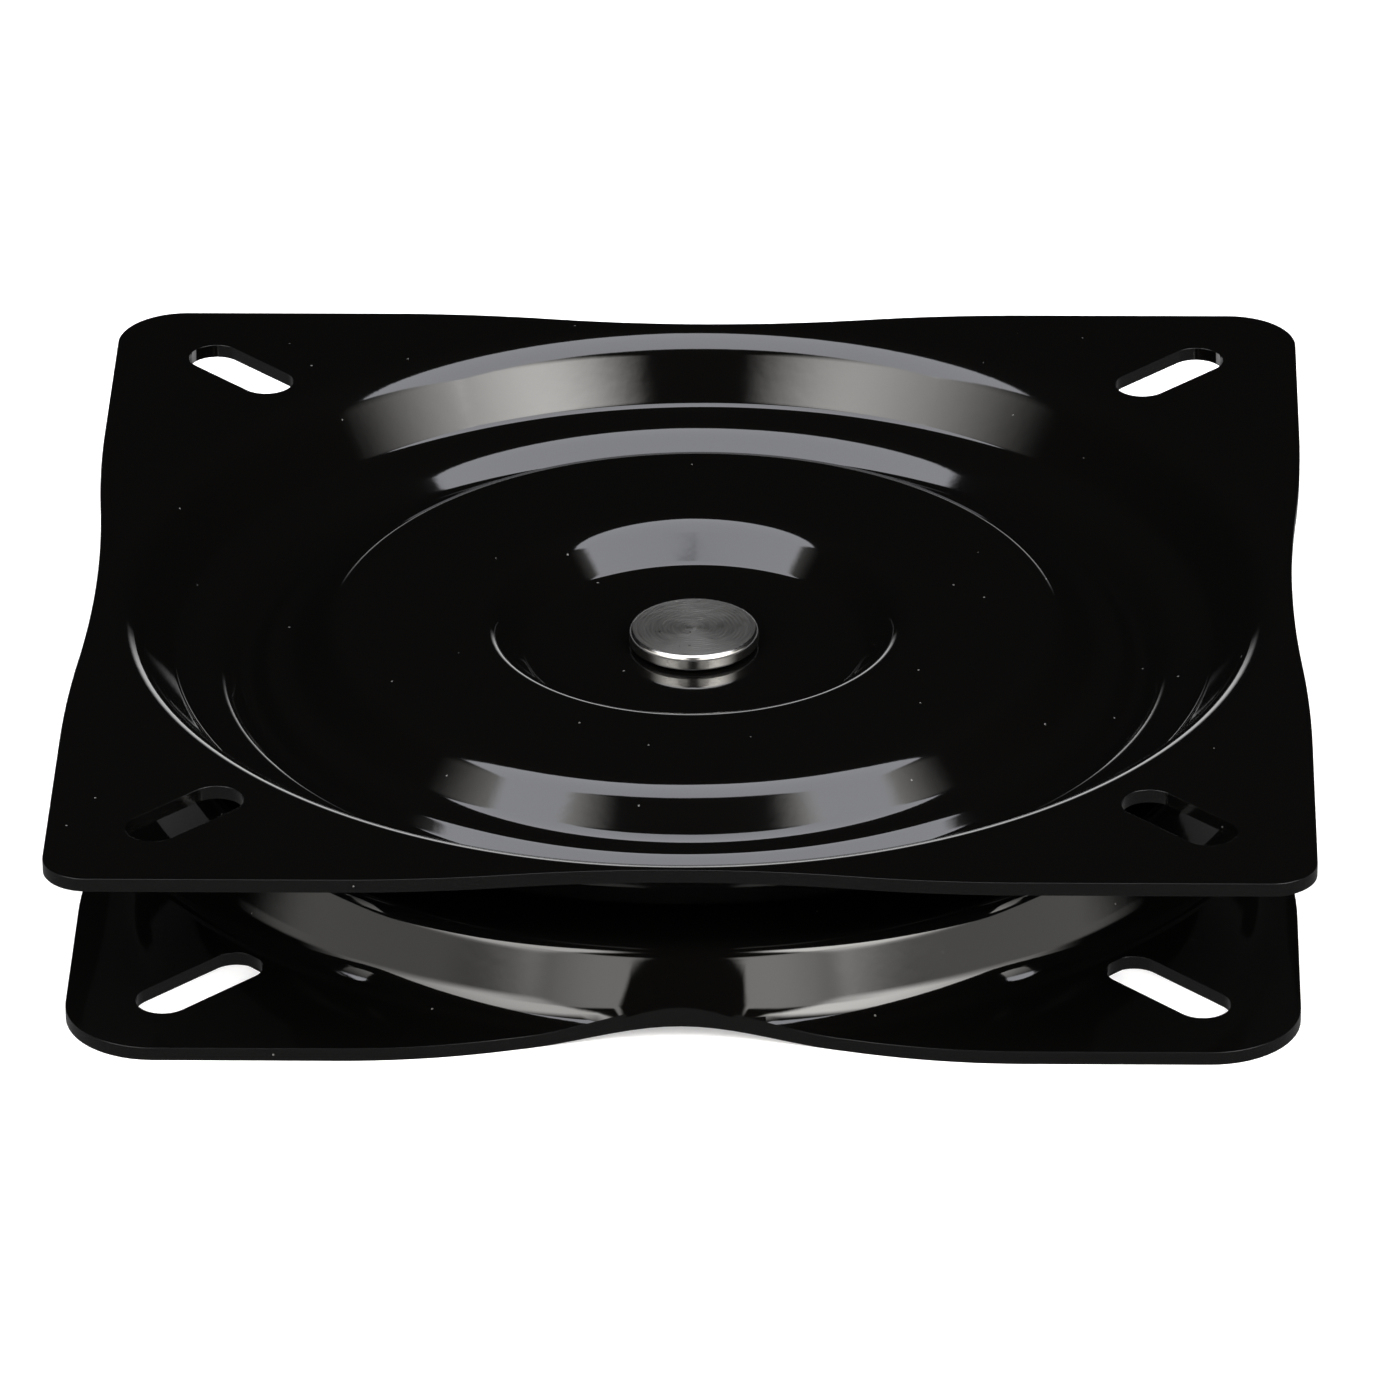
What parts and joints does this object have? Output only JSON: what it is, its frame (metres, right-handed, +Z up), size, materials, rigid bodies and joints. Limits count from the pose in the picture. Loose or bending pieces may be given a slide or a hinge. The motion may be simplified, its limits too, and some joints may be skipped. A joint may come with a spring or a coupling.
{
  "type": "boat seat swivel",
  "caption": "Square steel seat swivel: two black enamelled, dished plates with diagonal mounting slots, turning on a riveted ball bearing.",
  "frame": {"origin": "middle of the lower plate's underside, on the swivel axis", "axes": "+Z up along the swivel axis, from the lower plate to the upper plate; the front faces -Y"},
  "size_m": [0.178, 0.178, 0.03],
  "materials": {
    "black_enamel": "gloss",
    "bright_plated_steel": "turned",
    "zinc_plated_steel": "satin",
    "bearing_steel": "polished",
    "natural_acetal": "satin",
    "black_acetal": "satin"
  },
  "bodies": {
    "base": {"lower_plate": "black_enamel", "pivot_rivet": "bright_plated_steel", "backing_washer": "zinc_plated_steel", "lower_race": "bearing_steel", "glide_ring": "natural_acetal"},
    "seat_plate": {"upper_plate": "black_enamel", "pivot_bush": "black_acetal", "upper_race": "bearing_steel"},
    "ball_ring": {"ball_cage": "natural_acetal", "ball_01": "bearing_steel", "ball_02": "bearing_steel", "ball_03": "bearing_steel", "ball_04": "bearing_steel", "ball_05": "bearing_steel", "ball_06": "bearing_steel", "ball_07": "bearing_steel", "ball_08": "bearing_steel", "ball_09": "bearing_steel", "ball_10": "bearing_steel", "ball_11": "bearing_steel", "ball_12": "bearing_steel", "ball_13": "bearing_steel", "ball_14": "bearing_steel", "ball_15": "bearing_steel", "ball_16": "bearing_steel"}
  },
  "joints": [
    {"name": "swivel", "type": "hinge", "parent": "base", "child": "seat_plate", "pos_m": [0, 0, 0.015], "axis": [0, 0, 1], "continuous": true},
    {"name": "ball_ring_roll", "type": "hinge", "parent": "base", "child": "ball_ring", "pos_m": [0, 0, 0.015], "axis": [0, 0, 1], "continuous": true}
  ],
  "couplings": [
    {"joint": "ball_ring_roll", "follows": "swivel", "ratio": 0.5}
  ]
}
